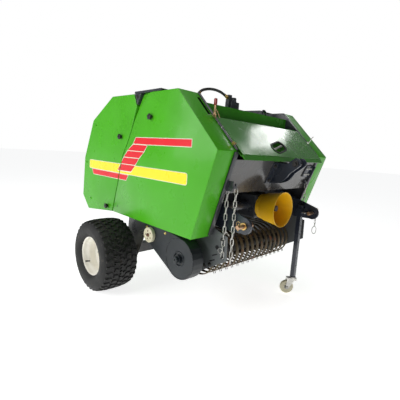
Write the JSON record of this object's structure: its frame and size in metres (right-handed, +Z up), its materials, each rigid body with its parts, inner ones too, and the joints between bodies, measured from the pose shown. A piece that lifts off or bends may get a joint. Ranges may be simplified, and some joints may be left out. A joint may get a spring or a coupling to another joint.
{
  "type": "mini round baler",
  "caption": "Towed mini round baler: folded green side covers, hinged tailgate, roller chamber, tine pickup, shaft drive guard, two turf wheels and a caster jack.",
  "frame": {"origin": "on the ground, at the middle of the machine's length and width", "axes": "+Z up, -Y towards the hitch and the tractor, +Y towards the tailgate, -X the machine's right-hand side"},
  "size_m": [1.49, 1.467, 1.2776],
  "materials": {
    "green_paint": "gloss enamel, bright green",
    "dark_paint": "semi-gloss dark grey enamel",
    "bare_steel": "worn bright steel",
    "zinc": "zinc plated",
    "gold_zinc": "yellow zinc plated",
    "yellow_plastic": "moulded, satin",
    "tyre_rubber": "ribbed turf tread rubber",
    "cream_paint": "gloss cream enamel",
    "nylon": "cast nylon, satin",
    "hose_rubber": "smooth covered hose",
    "red_plastic": "dipped grip"
  },
  "bodies": {
    "root": {"front_cover_left": "green_paint", "front_cover_right": "green_paint", "roof_panel": "green_paint", "side_plate_left": "dark_paint", "side_plate_right": "dark_paint", "twine_box": "dark_paint", "top_beam": "dark_paint", "front_beam": "dark_paint", "axle_beam": "dark_paint", "gearbox": "dark_paint", "top_link_bracket": "dark_paint", "hitch_arm_left": "dark_paint", "hitch_arm_right": "dark_paint", "stripper_bands": "dark_paint", "feed_pan": "dark_paint", "pickup_side_left": "dark_paint", "pickup_side_right": "dark_paint", "pickup_drive_cover": "dark_paint", "drive_hub": "dark_paint", "valve_block": "dark_paint", "hinge_bar_left": "dark_paint", "hinge_bar_right": "dark_paint", "lift_chain_left": "zinc", "lift_chain_right": "zinc", "loose_chain": "zinc", "hitch_pin_left": "gold_zinc", "hitch_pin_right": "gold_zinc", "top_link_pin": "gold_zinc", "hose_union": "gold_zinc", "pto_guard": "yellow_plastic", "idler_disc": "nylon", "hydraulic_hose": "hose_rubber", "shutoff_lever": "red_plastic"},
    "tailgate": {"tailgate_plate_left": "dark_paint", "tailgate_plate_right": "dark_paint", "tailgate_cover_left": "green_paint", "tailgate_cover_right": "green_paint", "tailgate_panel": "green_paint"},
    "hood": {"hood": "green_paint"},
    "wheel_right": {"tyre_right": "tyre_rubber", "rim_right": "cream_paint"},
    "wheel_left": {"tyre_left": "tyre_rubber", "rim_left": "cream_paint"},
    "reel": {"pickup_reel": "dark_paint"},
    "drive_shaft": {"pto_shaft": "bare_steel"},
    "jack_post": {"jack_post": "dark_paint"},
    "jack_fork": {"jack_fork": "zinc"},
    "jack_wheel": {"jack_wheel": "nylon"},
    "front_roller_1": {"front_roller_1": "bare_steel"},
    "front_roller_2": {"front_roller_2": "bare_steel"},
    "front_roller_3": {"front_roller_3": "bare_steel"},
    "tailgate_roller_1": {"tailgate_roller_1": "bare_steel"},
    "tailgate_roller_2": {"tailgate_roller_2": "bare_steel"},
    "tailgate_roller_3": {"tailgate_roller_3": "bare_steel"},
    "tailgate_roller_4": {"tailgate_roller_4": "bare_steel"},
    "tailgate_roller_5": {"tailgate_roller_5": "bare_steel"},
    "tailgate_roller_6": {"tailgate_roller_6": "bare_steel"},
    "tailgate_roller_7": {"tailgate_roller_7": "bare_steel"}
  },
  "joints": [
    {"name": "tailgate_lift", "type": "hinge", "parent": "root", "child": "tailgate", "pos_m": [0, 0.04, 1.238], "axis": [1, 0, 0], "range_deg": [0, 62]},
    {"name": "hood_lid", "type": "hinge", "parent": "root", "child": "hood", "pos_m": [0, -0.44, 1.083], "axis": [-1, 0, 0], "range_deg": [0, 95]},
    {"name": "wheel_right_spin", "type": "hinge", "parent": "root", "child": "wheel_right", "pos_m": [-0.62575, 0.2505, 0.2285], "axis": [1, 0, 0], "continuous": true},
    {"name": "wheel_left_spin", "type": "hinge", "parent": "root", "child": "wheel_left", "pos_m": [0.62575, 0.2505, 0.2285], "axis": [1, 0, 0], "continuous": true},
    {"name": "pickup_spin", "type": "hinge", "parent": "root", "child": "reel", "pos_m": [0, -0.36, 0.352], "axis": [1, 0, 0], "continuous": true},
    {"name": "pto_spin", "type": "hinge", "parent": "root", "child": "drive_shaft", "pos_m": [0, -0.495, 0.622], "axis": [0, 1, 0], "continuous": true},
    {"name": "front_roller_1_spin", "type": "hinge", "parent": "root", "child": "front_roller_1", "pos_m": [0, 0.04519, 0.98], "axis": [1, 0, 0], "continuous": true},
    {"name": "front_roller_2_spin", "type": "hinge", "parent": "root", "child": "front_roller_2", "pos_m": [0, 0.005, 0.83], "axis": [1, 0, 0], "continuous": true},
    {"name": "front_roller_3_spin", "type": "hinge", "parent": "root", "child": "front_roller_3", "pos_m": [0, 0.13293, 0.58425], "axis": [1, 0, 0], "continuous": true},
    {"name": "tailgate_roller_1_spin", "type": "hinge", "parent": "tailgate", "child": "tailgate_roller_1", "pos_m": [0, 0.33636, 0.53164], "axis": [1, 0, 0], "continuous": true},
    {"name": "tailgate_roller_2_spin", "type": "hinge", "parent": "tailgate", "child": "tailgate_roller_2", "pos_m": [0, 0.50182, 0.60359], "axis": [1, 0, 0], "continuous": true},
    {"name": "tailgate_roller_3_spin", "type": "hinge", "parent": "tailgate", "child": "tailgate_roller_3", "pos_m": [0, 0.59609, 0.75742], "axis": [1, 0, 0], "continuous": true},
    {"name": "tailgate_roller_4_spin", "type": "hinge", "parent": "tailgate", "child": "tailgate_roller_4", "pos_m": [0, 0.58507, 0.93751], "axis": [1, 0, 0], "continuous": true},
    {"name": "tailgate_roller_5_spin", "type": "hinge", "parent": "tailgate", "child": "tailgate_roller_5", "pos_m": [0, 0.47276, 1.07871], "axis": [1, 0, 0], "continuous": true},
    {"name": "tailgate_roller_6_spin", "type": "hinge", "parent": "tailgate", "child": "tailgate_roller_6", "pos_m": [0, 0.29976, 1.12995], "axis": [1, 0, 0], "continuous": true},
    {"name": "tailgate_roller_7_spin", "type": "hinge", "parent": "tailgate", "child": "tailgate_roller_7", "pos_m": [0, 0.12866, 1.07271], "axis": [1, 0, 0], "continuous": true},
    {"name": "jack_height", "type": "slide", "parent": "root", "child": "jack_post", "axis": [0, 0, 1], "range_m": [0, 0.15]},
    {"name": "jack_swivel", "type": "hinge", "parent": "jack_post", "child": "jack_fork", "pos_m": [0.33, -0.5755, 0.112], "axis": [0, 0, 1], "continuous": true},
    {"name": "jack_wheel_spin", "type": "hinge", "parent": "jack_fork", "child": "jack_wheel", "pos_m": [0.30454, -0.55004, 0.045], "axis": [0.7071, 0.7071, 0], "continuous": true}
  ],
  "couplings": [
    {"joint": "pto_spin", "follows": "pickup_spin", "ratio": 4.5},
    {"joint": "front_roller_1_spin", "follows": "pickup_spin", "ratio": 1.5},
    {"joint": "front_roller_2_spin", "follows": "pickup_spin", "ratio": 1.5},
    {"joint": "front_roller_3_spin", "follows": "pickup_spin", "ratio": 1.5},
    {"joint": "tailgate_roller_1_spin", "follows": "pickup_spin", "ratio": 1.5},
    {"joint": "tailgate_roller_2_spin", "follows": "pickup_spin", "ratio": 1.5},
    {"joint": "tailgate_roller_3_spin", "follows": "pickup_spin", "ratio": 1.5},
    {"joint": "tailgate_roller_4_spin", "follows": "pickup_spin", "ratio": 1.5},
    {"joint": "tailgate_roller_5_spin", "follows": "pickup_spin", "ratio": 1.5},
    {"joint": "tailgate_roller_6_spin", "follows": "pickup_spin", "ratio": 1.5},
    {"joint": "tailgate_roller_7_spin", "follows": "pickup_spin", "ratio": 1.5}
  ]
}
